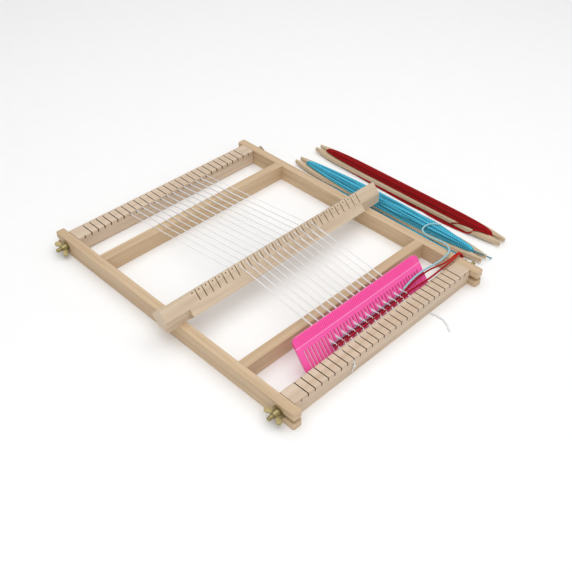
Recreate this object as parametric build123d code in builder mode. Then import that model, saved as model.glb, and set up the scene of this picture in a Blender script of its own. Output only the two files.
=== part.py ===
"""Weaving frame: a beech tapestry loom with a rocking heddle bar, comb and two stick shuttles.

Millimetres, +Z up. X runs along the beams, Y from the weaver's side (-Y) to the far side.
The floor is Z = 0, and the origin is under the middle of everything that lies on it.
"""
from build123d import *
from math import cos, pi, radians, sin, tan
import os

os.makedirs("parts", exist_ok=True)

# ---- driving dimensions -------------------------------------------------
loom_x = -39.5            # where the frame's own centreline lies, beside the two shuttles
pitch = 10.0              # spacing of kerfs, heddle slots and heddle holes
height = 22.0             # of rails, beams and stretchers alike
rail_length = 424.0
rail_thick = 12.0
rail_inside = 150.0       # from the centreline to a rail's inner face
beam_y = 190.0            # beam axis, which is the bolt axis
beam_gap = 0.3            # free space at each beam end
bolt_dia = 5.0
slot_height = 5.2         # of the open slot in each rail end
slot_depth = 30.0
kerf_count = 27
kerf_width = 1.3
kerf_depth = 4.0
running = 0.05            # radial clearance of a nut or a bore on its bolt

stretcher_thick = 13.0
stretchers_y = {"back_stretcher": 127.4, "front_stretcher": -123.8}
dowel_dia = 5.0
dowel_length = 20.0
dowel_in_rail = 8.0

bar_apex_y = -32.4        # the line the heddle bar rocks on
bar_lift = 0.1            # running space between the bar and the rails
bar_lean = 45.0
bar_thick = 20.0
bar_width = 27.0
bar_ends = (-177.0, 180.0)
bar_full = 144.0          # half-length of the full section between the rails
slot_floor = 13.0         # height of a heddle slot's floor above the bar's lower edge
hole_height = 24.4
slot_count = 28

comb_lean = 53.0
comb_y, comb_z = -164.6, 24.0   # a point on the comb's mid-plane at warp height
comb_length = 209.0
comb_top = 24.3
comb_tips = -15.0
comb_gap_top = 7.3
comb_gap_width = 2.6

thread = 0.8
warp_pairs = 13
fell_y = -168.2           # where the free warp begins, just behind the woven rows

shuttle_length = 325.0
shuttle_width = 24.0
shuttle_thick = 5.0
yarn_under = 3.0          # thickness of yarn on a shuttle's underside
yarn_over = 5.5           # and on its upper face
yarn_half = {"blue": 14.0, "red": 9.0}   # half the width of each winding
shuttles = {"blue": (198.3, -28.2), "red": (244.0, -25.5)}


def across(x):
    """A section plane across the loom at x from its centreline, with Y to the right and Z up."""
    return Plane(origin=(loom_x + x, 0, 0), x_dir=(0, 1, 0), z_dir=(1, 0, 0))


def level(z, x=0.0, y=0.0):
    """A plan plane at height z, centred on a point of the loom."""
    return Plane(origin=(loom_x + x, y, z))


def finish(builder, name):
    builder.part.label = name
    export_step(builder.part, f"parts/{name}.step")


# ---- side rails: long battens with an open slot in each end for the beam bolts ----
for side, name in ((-1, "side_rail_left"), (1, "side_rail_right")):
    rail_x = side * (rail_inside + rail_thick / 2)
    with BuildPart() as rail:
        with BuildSketch(level(0, rail_x)):
            RectangleRounded(rail_thick, rail_length, 2.2)
        extrude(amount=height)
        fillet(rail.faces().sort_by(Axis.Z)[-1].edges(), 0.6)
        for end in (-1, 1):
            with BuildSketch(across(rail_x)):
                with Locations((end * (rail_length / 2 - slot_depth / 2 + 5), height / 2)):
                    SlotOverall(slot_depth + 10, slot_height)
            extrude(amount=rail_thick, both=True, mode=Mode.SUBTRACT)
        for middle in stretchers_y.values():
            with BuildSketch(across(side * rail_inside)):
                with Locations((middle, 6), (middle, 16)):
                    Circle(dowel_dia / 2)
            extrude(amount=side * dowel_in_rail, mode=Mode.SUBTRACT)
    finish(rail, name)

# ---- stretchers: fixed cross-rails that hold the two side rails apart ----
for name, middle in stretchers_y.items():
    with BuildPart() as stretcher:
        with BuildSketch(level(0, 0, middle)):
            Rectangle(2 * rail_inside, stretcher_thick)
        extrude(amount=height)
        fillet(stretcher.edges().filter_by(Axis.X), 1.0)
        for side in (-1, 1):
            with BuildSketch(across(side * rail_inside)):
                with Locations((middle, 6), (middle, 16)):
                    Circle(dowel_dia / 2)
            extrude(amount=-side * (dowel_length - dowel_in_rail), mode=Mode.SUBTRACT)
    finish(stretcher, name)

# ---- dowels: two beech pins glued into each of the four stretcher joints ----
with BuildPart() as dowels:
    for middle in stretchers_y.values():
        for side in (-1, 1):
            with BuildSketch(across(side * (rail_inside + dowel_in_rail))):
                with Locations((middle, 6), (middle, 16)):
                    Circle(dowel_dia / 2)
            extrude(amount=-side * dowel_length)
finish(dowels, "stretcher_dowels")

# ---- beams: kerfed bars that turn on their bolts once the wing nuts are slack ----
beam_length = 2 * (rail_inside - beam_gap)
bolt_inside = 20.0
for end, name in ((-1, "front_beam"), (1, "back_beam")):
    middle = end * beam_y
    with BuildPart() as beam:
        with BuildSketch(across(-beam_length / 2)) as section:
            with Locations((middle, height / 2)):
                Rectangle(height, height)
            corners = section.vertices().group_by(Axis.X)
            inner, outer = (corners[-1], corners[0]) if end < 0 else (corners[0], corners[-1])
            low, high = outer.sort_by(Axis.Y)
            fillet(inner, 1.5)
            fillet(low, 8.0)
            fillet(high, 4.0)
        extrude(amount=beam_length)
        with BuildSketch(level(height, 0, middle)):
            with GridLocations(pitch, 1, kerf_count, 1):
                Rectangle(kerf_width, height + 4)
        extrude(amount=-kerf_depth, mode=Mode.SUBTRACT)
        for side in (-1, 1):
            with BuildSketch(across(side * beam_length / 2)):
                with Locations((middle, height / 2)):
                    Circle(bolt_dia / 2)
            extrude(amount=-side * bolt_inside, mode=Mode.SUBTRACT)
    finish(beam, name)

# ---- beam bolts: headless studs screwed into the beam ends, out through the rail slots ----
bolt_tip = 177.0
for end, name in ((-1, "front_bolts"), (1, "back_bolts")):
    with BuildPart() as bolts:
        for side in (-1, 1):
            with BuildSketch(across(side * (beam_length / 2 - bolt_inside))):
                with Locations((end * beam_y, height / 2)):
                    Circle(bolt_dia / 2)
            extrude(amount=side * (bolt_tip - beam_length / 2 + bolt_inside))
        chamfer(bolts.edges().filter_by(GeomType.CIRCLE).group_by(Axis.X)[0], 0.6)
        chamfer(bolts.edges().filter_by(GeomType.CIRCLE).group_by(Axis.X)[-1], 0.6)
    finish(bolts, name)

# ---- washers: one against the outer face of each rail slot ----
rail_outside = rail_inside + rail_thick
washer_thick = 1.0
with BuildPart() as washers:
    for side in (-1, 1):
        with BuildSketch(across(side * rail_outside)):
            with Locations((-beam_y, height / 2), (beam_y, height / 2)):
                Circle(8.0)
                Circle(bolt_dia / 2 + 0.2, mode=Mode.SUBTRACT)
        extrude(amount=side * washer_thick)
finish(washers, "washers")

# ---- wing nuts: hub and two rounded ears, each left at its own angle ----
nut_space = 0.2
hub_length = 7.0
nut_turns = {
    "wing_nut_front_left": (-1, -1, 12.0), "wing_nut_front_right": (1, -1, 8.0),
    "wing_nut_back_left": (-1, 1, 20.0), "wing_nut_back_right": (1, 1, -15.0),
}
for name, (side, end, turn) in nut_turns.items():
    start = side * (rail_outside + washer_thick + nut_space)
    hub = Plane(origin=(loom_x + start, end * beam_y, height / 2), x_dir=(0, 1, 0), z_dir=(side, 0, 0))
    ears = Plane(origin=hub.origin, x_dir=(side, 0, 0), z_dir=(0, -sin(radians(turn)), cos(radians(turn))))
    with BuildPart() as nut:
        with BuildSketch(hub):
            Circle(4.6)
        with BuildSketch(hub.offset(hub_length)):
            Circle(3.7)
        loft()
        for ear in (-1, 1):
            with BuildSketch(ears):
                with Locations((6.6, ear * 9.2)):
                    Circle(3.0)
                with Locations((3.2, ear * 3.0)):
                    Circle(1.9)
                make_hull()
            extrude(amount=1.0, both=True)
        with BuildSketch(hub):
            Circle(bolt_dia / 2 + running)
        extrude(amount=hub_length + 4, both=True, mode=Mode.SUBTRACT)
    finish(nut, name)

# ---- heddle bar: leans at 45 degrees on V-cut ends and rocks over to lean the other way ----
lean = radians(bar_lean)
bar_plane = Plane(
    origin=(loom_x, bar_apex_y, height + bar_lift),
    x_dir=(0, cos(lean), -sin(lean)), z_dir=(1, 0, 0),
)
half_bar = bar_thick / 2
with BuildPart() as bar:
    with BuildSketch(bar_plane.offset(bar_ends[0])):
        Polygon((0, 0), (half_bar, half_bar), (half_bar, bar_width), (-half_bar, bar_width),
                (-half_bar, half_bar), align=None)
    extrude(amount=bar_ends[1] - bar_ends[0])
    with BuildSketch(bar_plane.offset(-bar_full)):
        with Locations((0, bar_width / 2)):
            Rectangle(bar_thick, bar_width)
    extrude(amount=2 * bar_full)
    slot_plane = Plane(origin=bar_plane.origin, x_dir=(1, 0, 0), z_dir=bar_plane.x_dir)
    face = slot_plane.offset(-half_bar)
    toward = 1 if face.y_dir.Z > 0 else -1
    slot_row = toward * (slot_floor + bar_width) / 2
    with BuildSketch(face):
        with Locations((8.5, slot_row)):
            with GridLocations(pitch, 1, slot_count, 1):
                Rectangle(1.5, bar_width - slot_floor)
        with Locations((3.5, toward * hole_height)):
            with GridLocations(pitch, 1, slot_count, 1):
                Circle(1.0)
    extrude(amount=bar_thick, mode=Mode.SUBTRACT)
finish(bar, "heddle_bar")

# ---- comb: moulded beater with ribbed back, standing between the warp threads ----
comb_plane = Plane(
    origin=(loom_x, comb_y, comb_z), x_dir=(1, 0, 0),
    z_dir=(0, -sin(radians(comb_lean)), cos(radians(comb_lean))),
)
comb_root = 12.7          # the ridge that divides the teeth's root from the ribbed back
comb_half = 1.5
gap_count = 39
with BuildPart() as comb:
    with BuildSketch(comb_plane) as outline:
        with Locations((0, (comb_top + comb_tips) / 2)):
            Rectangle(comb_length, comb_top - comb_tips)
        fillet(outline.vertices().group_by(Axis.Y)[-1], 7.0)
    extrude(amount=comb_half, both=True)
    with BuildSketch(comb_plane):
        with Locations((0, (comb_gap_top + comb_tips) / 2 - 2)):
            with GridLocations(pitch / 2, 1, gap_count, 1):
                SlotOverall(comb_gap_top - comb_tips + 4, comb_gap_width, rotation=90)
    extrude(amount=comb_half + 1, both=True, mode=Mode.SUBTRACT)
    with BuildSketch(comb_plane.offset(comb_half)):
        with Locations((0, comb_root)):
            Rectangle(comb_length - 16, 1.0)
    extrude(amount=0.6)
    for side in (-1, 1):
        with BuildSketch(comb_plane.offset(side * comb_half)):
            with Locations((0, (comb_root + comb_top) / 2)):
                with GridLocations(2.6, 1, 74, 1):
                    Rectangle(1.1, comb_top - comb_root - 2.4)
        extrude(amount=side * 0.35)
finish(comb, "comb")

# ---- stick shuttles: flat boards with a forked, tapered point at each end ----
notch = 16.0
half_length = shuttle_length / 2
for colour, (shuttle_x, shuttle_y) in shuttles.items():
    board = level(yarn_under, shuttle_x, shuttle_y)
    with BuildPart() as shuttle:
        with BuildSketch(board):
            with BuildLine():
                side_end = (shuttle_width / 2, half_length - 58)
                tip_out = (6.6, half_length - 2.4)
                tip_in = (3.9, half_length - 1.2)
                Line((0, 0), (shuttle_width / 2, 0))
                Line((shuttle_width / 2, 0), side_end)
                ThreePointArc(side_end, (10.3, half_length - 24), tip_out)
                ThreePointArc(tip_out, (5.4, half_length), tip_in)
                Line(tip_in, (2.4, half_length - notch))
                ThreePointArc((2.4, half_length - notch), (1.7, half_length - notch - 1.7),
                              (0, half_length - notch - 2.6))
                Line((0, half_length - notch - 2.6), (0, 0))
            make_face()
            mirror(about=Plane.YZ)
            mirror(about=Plane.XZ)
        extrude(amount=shuttle_thick)
    finish(shuttle, f"shuttle_{colour}")

# ---- yarn on each shuttle: laid lengthwise over both faces, through the forks ----
for colour, (shuttle_x, shuttle_y) in shuttles.items():
    half_width = yarn_half[colour]
    with BuildPart() as yarn:
        for z, thick in ((0.0, yarn_under), (yarn_under + shuttle_thick, yarn_over)):
            with BuildSketch(level(z, shuttle_x, shuttle_y)):
                with BuildLine():
                    reach = half_length - notch - 3.4
                    Line((0, 0), (half_width, 0))
                    Line((half_width, 0), (half_width, reach - 70))
                    ThreePointArc((half_width, reach - 70), (0.7 * half_width, reach - 22), (2.2, reach))
                    Line((2.2, reach), (0, reach))
                    Line((0, reach), (0, 0))
                make_face()
                mirror(about=Plane.YZ)
                mirror(about=Plane.XZ)
            extrude(amount=thick)
        chamfer(yarn.faces().sort_by(Axis.Z)[-1].edges(), 1.2)
    finish(yarn, f"yarn_{colour}")

# ---- woven strip: the first two rows of weft with the warp bound in them ----
strip_ends = (-64.5, 60.5)
strip_y = (-179.2, fell_y - 0.3)
strip_z = (22.4, 25.0)
with BuildPart() as strip:
    with BuildSketch(level(strip_z[0], sum(strip_ends) / 2, sum(strip_y) / 2)):
        Rectangle(strip_ends[1] - strip_ends[0], strip_y[1] - strip_y[0])
    extrude(amount=strip_z[1] - strip_z[0])
    fillet(strip.edges().filter_by(Axis.X), 0.8)
finish(strip, "woven_strip")

# ---- warp: one cotton thread laid to and fro, seen as 13 hole threads and 13 slot threads ----


def straight_threads(builder_name, lines):
    """Round threads along the given polylines, one solid for each straight run."""
    with BuildPart() as threads:
        for points in lines:
            for a, b in zip(points, points[1:]):
                a, b = Vector(*a), Vector(*b)
                with BuildSketch(Plane(origin=a, z_dir=b - a)):
                    Circle(thread / 2)
                extrude(amount=(b - a).length)
    finish(threads, builder_name)


def on_bar(x, w, u):
    """A point of the heddle bar: w through its thickness, u up its width."""
    place = bar_plane.from_local_coords(Vector(w, u, 0))
    return (loom_x + x, place.Y, place.Z)


front_kerf = [-60 + pitch * k for k in range(warp_pairs)]
kerf_in = 178.7           # |Y| where the warp enters a back kerf
upper, lower = 20.9, 19.9     # heights of the two threads stacked in a back kerf there
hole_lines, slot_lines = [], []
for k, x in enumerate(front_kerf):
    hole_mouth = on_bar(x - 1.5, -half_bar - 0.6, hole_height)
    hole_exit = on_bar(x - 1.5, half_bar + 0.6, hole_height)
    slot_lip = on_bar(x + 3.6, -half_bar, slot_floor + 1.0)
    hole_lines.append([
        (loom_x + x - 0.7, fell_y, 23.8), hole_mouth, hole_exit, (loom_x + x - pitch, kerf_in, lower)])
    slot_lines.append([
        (loom_x + x + 0.7, fell_y, 23.8), slot_lip, (loom_x + x, kerf_in, upper)])
straight_threads("warp_hole_threads", hole_lines)
straight_threads("warp_slot_threads", slot_lines)

# back loops: each pair passes over the back beam and round the tooth between two kerfs
behind = beam_y + height / 2 + thread
loop_lines = []
for x in front_kerf:
    left, right = loom_x + x - pitch, loom_x + x
    loop_lines.append([
        (left, kerf_in + 0.4, lower), (left, behind, 18.5), (right, behind, 19.4), (right, kerf_in + 0.4, upper)])
with BuildPart() as loops:
    for points in loop_lines:
        with BuildLine() as path:
            FilletPolyline(*points, radius=1.6)
        with BuildSketch(Plane(origin=path.line @ 0, z_dir=path.line % 0)):
            Circle(thread / 2)
        sweep()
finish(loops, "warp_back_loops")

# front ends: each pair lies one thread above the other in its kerf, pinched there
end_lines = []
for x in front_kerf:
    for z in (18.5, 19.4):
        end_lines.append([(loom_x + x, -kerf_in - 0.8, z), (loom_x + x, -beam_y - 9.0, z)])
straight_threads("warp_front_ends", end_lines)

# knot: ties the first warp end at the front beam's outer face
with BuildPart() as knot:
    with Locations((loom_x - 61, -beam_y - height / 2 - 1.4, 12.7)):
        Sphere(1.4)
finish(knot, "warp_knot")

# ---- loose strands and tail: limp cords that lie free -------------------


def corner_radii(points):
    """The largest arc that the two runs at each corner allow."""
    vectors = [Vector(*b) - Vector(*a) for a, b in zip(points, points[1:])]
    radii = []
    for a, b in zip(vectors, vectors[1:]):
        radii.append(0.45 * min(a.length, b.length) / tan(radians(a.get_angle(b)) / 2))
    return radii


def cord(name, diameter, route):
    """A round cord along its route: straight runs joined by tangent arcs."""
    points = [(loom_x + x, y, z) for x, y, z in route]
    radii = corner_radii(points)
    with BuildPart() as tube:
        with BuildLine() as path:
            FilletPolyline(*points, radius=radii)
        with BuildSketch(Plane(origin=path.line @ 0, z_dir=path.line % 0)):
            Circle(diameter / 2)
        sweep()
    finish(tube, name)
    length = sum(edge.length for edge in path.edges())
    expected = length * pi * diameter ** 2 / 4
    print(name, "length", round(length, 1), "radii", [round(r, 1) for r in radii],
          "volume over section times length", round(tube.part.volume / expected, 4))


cord("strand_red", 2.4, [
    (60.9, -175.5, 23.9), (75, -176.4, 24.3), (91, -177.6, 24.1), (107, -178.2, 24.4), (123, -177.3, 24.1),
    (139, -177.2, 24.3), (153, -176.8, 25.8), (164.5, -176.2, 25.6), (169.5, -175.9, 19),
    (172.5, -175.6, 11), (176, -175.3, 4.2), (184, -175.1, 1.5), (194, -174.8, 1.4)])
cord("strand_red_loop", 2.2, [
    (60.9, -172, 24.2), (75, -170, 25.3), (91, -168.6, 25.8), (107, -168.3, 25.2), (119, -169.8, 24.9),
    (129, -172.4, 24.6), (140, -174.4, 24.7), (153, -174.2, 25.8), (164.5, -173.6, 25.6), (169.5, -173.2, 19),
    (172.5, -172.8, 11), (176, -172.4, 4.2), (184, -172.2, 1.5), (194, -172.1, 1.4)])
cord("strand_blue_weave", 2.4, [
    (62, -169.3, 25), (73, -167.8, 27.2), (89, -166.6, 28.2), (105, -166.4, 28.0), (120, -167.4, 26.8),
    (134, -168.4, 25.8), (146, -167.2, 25.6)])
cord("strand_blue_rail", 2.4, [
    (146, -167.2, 25.6), (155, -166.3, 25.45), (162.5, -160.5, 25.9), (166.3, -151.5, 25.8),
    (165.2, -141, 25.6), (163.4, -131, 25.5), (164.6, -121.5, 24.8), (170.5, -113.5, 22), (179, -107.5, 18.2),
    (188, -104.4, 15.6), (196, -105, 15.3), (202.5, -109.6, 15.2), (206.5, -116.4, 15)])
cord("warp_tail", 2.4, [
    (75, -201.2, 1.25), (75.6, -207.5, 1.3), (76.6, -214, 1.3), (75.8, -221, 1.35), (72, -229, 1.3),
    (65.5, -236.5, 1.25)])
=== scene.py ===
"""A beech weaving frame with its warp strung, a comb in the warp and two wound shuttles beside it."""
import math
import random

import bmesh
import bpy
from mathutils import Matrix, Vector


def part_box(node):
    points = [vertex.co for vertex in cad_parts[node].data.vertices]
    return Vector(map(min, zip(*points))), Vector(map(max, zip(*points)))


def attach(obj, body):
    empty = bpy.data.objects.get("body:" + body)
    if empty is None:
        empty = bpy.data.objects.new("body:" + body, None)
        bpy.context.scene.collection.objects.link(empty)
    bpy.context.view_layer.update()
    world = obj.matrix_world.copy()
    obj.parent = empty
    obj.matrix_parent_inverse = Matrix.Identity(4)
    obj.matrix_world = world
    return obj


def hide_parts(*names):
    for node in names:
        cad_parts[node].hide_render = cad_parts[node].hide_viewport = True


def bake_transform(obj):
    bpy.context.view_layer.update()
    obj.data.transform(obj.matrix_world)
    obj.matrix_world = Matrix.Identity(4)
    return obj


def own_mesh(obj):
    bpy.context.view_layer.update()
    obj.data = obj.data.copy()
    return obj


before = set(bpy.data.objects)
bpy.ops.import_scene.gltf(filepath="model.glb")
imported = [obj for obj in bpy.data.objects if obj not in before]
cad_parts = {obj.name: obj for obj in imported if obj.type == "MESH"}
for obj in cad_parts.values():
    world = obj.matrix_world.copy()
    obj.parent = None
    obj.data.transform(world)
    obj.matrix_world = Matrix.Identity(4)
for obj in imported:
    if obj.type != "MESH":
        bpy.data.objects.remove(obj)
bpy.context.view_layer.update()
mm = 0.001
# the loom's own centreline, half way between the outer faces of its rails
loom_x = (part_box("side_rail_left")[0].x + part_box("side_rail_right")[1].x) / 2

# ---- the table top and the light ----------------------------------------
# A pale seamless table top. One very broad light hangs overhead, a smaller one stands over the
# weaver's left shoulder, and a pale surround fills what they leave.


def node(tree, kind, **settings):
    """Adds a node to a tree and sets its properties and its sockets' values by name."""
    made = tree.nodes.new(kind)
    for key, value in settings.items():
        if hasattr(made, key):
            setattr(made, key, value)
        else:
            made.inputs[key.replace("_", " ")].default_value = value
    return made


def join(tree, *pairs):
    for out_socket, in_socket in pairs:
        tree.links.new(out_socket, in_socket)


def new_material(name, **shader_values):
    """A Principled material, its plain values set on the shader; gives material, tree and shader."""
    material = bpy.data.materials.new(name)
    material.use_nodes = True
    tree = material.node_tree
    shader = tree.nodes["Principled BSDF"]
    for key, value in shader_values.items():
        shader.inputs[key.replace("_", " ")].default_value = value
    return material, tree, shader


def from_mesh(name, vertices, faces, smooth=True):
    mesh = bpy.data.meshes.new(name)
    mesh.from_pydata([tuple(v) for v in vertices], [], faces)
    mesh.validate()
    if smooth:
        mesh.polygons.foreach_set("use_smooth", [True] * len(mesh.polygons))
    made = bpy.data.objects.new(name, mesh)
    bpy.context.scene.collection.objects.link(made)
    return made


table_white, tree, shader = new_material("table_white", Base_Color=(0.94, 0.94, 0.94, 1), Roughness=0.7)
speckle = node(tree, "ShaderNodeTexNoise", Scale=35.0, Detail=3.0)
tone = node(tree, "ShaderNodeValToRGB")
tone.color_ramp.elements[0].color = (0.925, 0.925, 0.925, 1)
tone.color_ramp.elements[1].color = (0.955, 0.955, 0.955, 1)
place = node(tree, "ShaderNodeTexCoord")
join(tree, (place.outputs["Object"], speckle.inputs["Vector"]),
     (speckle.outputs["Fac"], tone.inputs["Fac"]), (tone.outputs["Color"], shader.inputs["Base Color"]))
reach = 3.0            # metres from the middle of the table to its edges
corners = [(-reach, -reach, 0), (reach, -reach, 0), (reach, reach, 0), (-reach, reach, 0)]
table = from_mesh("table_top", corners, [(0, 1, 2, 3)])
table.data.materials.append(table_white)


def soft_light(name, place, size, watts):
    """A square area light, aimed at the middle of the table."""
    light = bpy.data.lights.new(name, "AREA")
    light.size = size
    light.energy = watts
    made = bpy.data.objects.new(name, light)
    bpy.context.scene.collection.objects.link(made)
    made.location = place
    made.rotation_euler = (-Vector(place)).to_track_quat("-Z", "Y").to_euler()


soft_light("overhead", (0.15, 0.0, 1.7), 2.5, 23)
soft_light("over_left_shoulder", (-0.8, -1.1, 1.2), 1.5, 7)
surround = bpy.data.worlds.new("pale_surround")
surround.use_nodes = True
glow = surround.node_tree.nodes["Background"]
glow.inputs["Color"].default_value = (1, 1, 1, 1)
glow.inputs["Strength"].default_value = 0.5
bpy.context.scene.world = surround
bpy.context.scene.view_settings.view_transform = "Standard"

# ---- the camera ----------------------------------------------------------
# It stands off the weaver's left-hand front corner, about a metre away, and looks down across
# the frame at some forty degrees.
camera_data = bpy.data.cameras.new("view")
camera_data.lens = 50.8
camera_data.sensor_width = 36.0
camera = bpy.data.objects.new("view", camera_data)
bpy.context.scene.collection.objects.link(camera)
turn, down, roll = math.radians(-45.24), math.radians(40.84), math.radians(0.43)
camera.matrix_world = (
    Matrix.Translation((loom_x - 0.5359, -0.5702, 0.6396))
    @ Matrix.Rotation(turn, 4, "Z") @ Matrix.Rotation(math.pi / 2 - down, 4, "X")
    @ Matrix.Rotation(roll, 4, "Z")
)
bpy.context.scene.camera = camera

# ---- beech ----------------------------------------------------------------
# Every wooden piece is planed beech, with fine flecks along the grain and faint growth bands. The
# frame is two slotted side rails and two stretchers, glued into the rails on dowels.


def maths(tree, operation, first, second=None, third=None):
    """What one math node gives; each of its inputs is a number or another node's output."""
    made = node(tree, "ShaderNodeMath", operation=operation)
    for socket, value in zip(made.inputs, (first, second, third)):
        if isinstance(value, (int, float)):
            socket.default_value = value
        elif value is not None:
            tree.links.new(value, socket)
    return made.outputs[0]


def beech_group():
    """Growth bands, fibres and flecks for wood whose fibres run along one axis of the object."""
    tree = bpy.data.node_groups.new("beech_grain", "ShaderNodeTree")
    for name, kind, default in (
            ("Along X", "NodeSocketFloat", 0.0), ("Pale", "NodeSocketColor", (1, 1, 1, 1)),
            ("Deep", "NodeSocketColor", (1, 1, 1, 1)), ("Board", "NodeSocketFloat", 0.0)):
        tree.interface.new_socket(name, in_out="INPUT", socket_type=kind).default_value = default
    for name, kind in (
            ("Color", "NodeSocketColor"), ("Roughness", "NodeSocketFloat"), ("Height", "NodeSocketFloat")):
        tree.interface.new_socket(name, in_out="OUTPUT", socket_type=kind)
    given, gives = tree.nodes.new("NodeGroupInput"), tree.nodes.new("NodeGroupOutput")
    coords = node(tree, "ShaderNodeTexCoord")
    apart = node(tree, "ShaderNodeSeparateXYZ")
    join(tree, (coords.outputs["Object"], apart.inputs[0]))
    # swap X and Y where the fibres run along X, so that they always run along the pattern's Y
    along = node(tree, "ShaderNodeMix", data_type="FLOAT")
    cross = node(tree, "ShaderNodeMix", data_type="FLOAT")
    join(tree, (given.outputs["Along X"], along.inputs[0]), (apart.outputs["Y"], along.inputs[2]),
         (apart.outputs["X"], along.inputs[3]), (given.outputs["Along X"], cross.inputs[0]),
         (apart.outputs["X"], cross.inputs[2]), (apart.outputs["Y"], cross.inputs[3]))
    shifted = maths(tree, "ADD", along.outputs[0], given.outputs["Board"])
    turned = node(tree, "ShaderNodeCombineXYZ")
    join(tree, (cross.outputs[0], turned.inputs[0]), (shifted, turned.inputs[1]),
         (apart.outputs["Z"], turned.inputs[2]))

    def stretched(scale_across, scale_along, detail, distortion=0.0):
        """Noise drawn out along the fibres; the two scales are features per metre."""
        mapping = node(tree, "ShaderNodeMapping")
        mapping.inputs["Scale"].default_value = (scale_across, scale_along, scale_across)
        noise = node(tree, "ShaderNodeTexNoise", Scale=1.0, Detail=detail, Distortion=distortion)
        join(tree, (turned.outputs[0], mapping.inputs[0]), (mapping.outputs[0], noise.inputs["Vector"]))
        return noise.outputs["Fac"]

    bands = stretched(150, 6, 2.0, 0.4)
    fibres = stretched(1500, 40, 3.0)
    flecks = stretched(2600, 320, 1.0)
    fleck_mask = node(tree, "ShaderNodeMapRange", From_Min=0.66, From_Max=0.74)
    join(tree, (flecks, fleck_mask.inputs["Value"]))
    band_mask = node(tree, "ShaderNodeMapRange", From_Min=0.35, From_Max=0.68)
    join(tree, (bands, band_mask.inputs["Value"]))
    wash = node(tree, "ShaderNodeMix", data_type="RGBA")
    join(tree, (band_mask.outputs[0], wash.inputs[0]), (given.outputs["Pale"], wash.inputs[6]),
         (given.outputs["Deep"], wash.inputs[7]))
    fibre_mask = node(tree, "ShaderNodeMapRange", From_Min=0.3, From_Max=0.75, To_Min=0.93, To_Max=1.05)
    join(tree, (fibres, fibre_mask.inputs["Value"]))
    fleck_dark = node(tree, "ShaderNodeMapRange", To_Min=1.0, To_Max=0.80)
    join(tree, (fleck_mask.outputs[0], fleck_dark.inputs["Value"]))
    grey = maths(tree, "MULTIPLY", fibre_mask.outputs[0], fleck_dark.outputs[0])
    shade = node(tree, "ShaderNodeVectorMath", operation="SCALE")
    join(tree, (wash.outputs[2], shade.inputs[0]), (grey, shade.inputs["Scale"]))
    rough = node(tree, "ShaderNodeMapRange", To_Min=0.42, To_Max=0.58)
    join(tree, (fibres, rough.inputs["Value"]))
    height = maths(tree, "MULTIPLY_ADD", fleck_mask.outputs[0], -0.6, fibres)
    join(tree, (shade.outputs[0], gives.inputs["Color"]), (rough.outputs[0], gives.inputs["Roughness"]),
         (height, gives.inputs["Height"]))
    return tree


beech = beech_group()


def beech_material(name, pale, deep, along_x, board, cuts=None):
    """Beech of one tint. Board shifts the grain from piece to piece; cuts=(x of a cut, spacing,
    half width, lowest z, top z) darkens the walls of saw cuts with painted shade and saw burn."""
    material, tree, shader = new_material(
        name, Specular_IOR_Level=0.35, Coat_Weight=0.08, Coat_Roughness=0.35)
    grain = node(tree, "ShaderNodeGroup", node_tree=beech)
    grain.inputs["Along X"].default_value = along_x
    grain.inputs["Pale"].default_value = (*pale, 1)
    grain.inputs["Deep"].default_value = (*deep, 1)
    grain.inputs["Board"].default_value = board
    bump = node(tree, "ShaderNodeBump", Strength=0.25, Distance=0.00012)
    join(tree, (grain.outputs["Color"], shader.inputs["Base Color"]),
         (grain.outputs["Roughness"], shader.inputs["Roughness"]),
         (grain.outputs["Height"], bump.inputs["Height"]), (bump.outputs[0], shader.inputs["Normal"]))
    if cuts:
        first, spacing, half, floor_z, top_z = cuts
        fade_depth = 0.4 * mm
        place = node(tree, "ShaderNodeTexCoord")
        apart = node(tree, "ShaderNodeSeparateXYZ")
        join(tree, (place.outputs["Object"], apart.inputs[0]))
        # the place along one spacing, counted so that every cut lies at its middle
        from_far_left = maths(tree, "SUBTRACT", apart.outputs["X"], first - 100.5 * spacing)
        along = maths(tree, "MODULO", from_far_left, spacing)
        away = maths(tree, "ABSOLUTE", maths(tree, "SUBTRACT", along, spacing / 2))
        in_cut = maths(tree, "LESS_THAN", away, half)
        deep_in = node(tree, "ShaderNodeMapRange", From_Min=top_z, From_Max=top_z - fade_depth)
        above = maths(tree, "GREATER_THAN", apart.outputs["Z"], floor_z)
        # painted shade and saw burn: the walls of each cut darken from just below the top down to its
        # floor
        cut_shade_and_burn = maths(tree, "MULTIPLY", maths(tree, "MULTIPLY", in_cut, deep_in.outputs[0]), above)
        cut_shade_and_burn_mix = node(tree, "ShaderNodeMix", data_type="RGBA")
        cut_shade_and_burn_mix.inputs[7].default_value = (0.10, 0.055, 0.028, 1)
        join(tree, (apart.outputs["Z"], deep_in.inputs["Value"]), (cut_shade_and_burn, cut_shade_and_burn_mix.inputs[0]),
             (grain.outputs["Color"], cut_shade_and_burn_mix.inputs[6]), (cut_shade_and_burn_mix.outputs[2], shader.inputs["Base Color"]))
    return material


def dress(names, material):
    """Gives pieces of the frame's model their finish; their shape stays as it is."""
    for name in names:
        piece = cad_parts[name]
        piece.data.materials.clear()
        piece.data.materials.append(material)


pale_beech, deep_beech = (0.64, 0.475, 0.305), (0.53, 0.375, 0.225)
for count, (name, along_x) in enumerate((
        ("side_rail_left", 0.0), ("side_rail_right", 0.0),
        ("front_stretcher", 1.0), ("back_stretcher", 1.0))):
    dress([name], beech_material("beech_" + name, pale_beech, deep_beech, along_x, 0.37 * count))
dress(["stretcher_dowels"], beech_material("beech_dowel", pale_beech, deep_beech, 1.0, 1.9))
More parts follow.
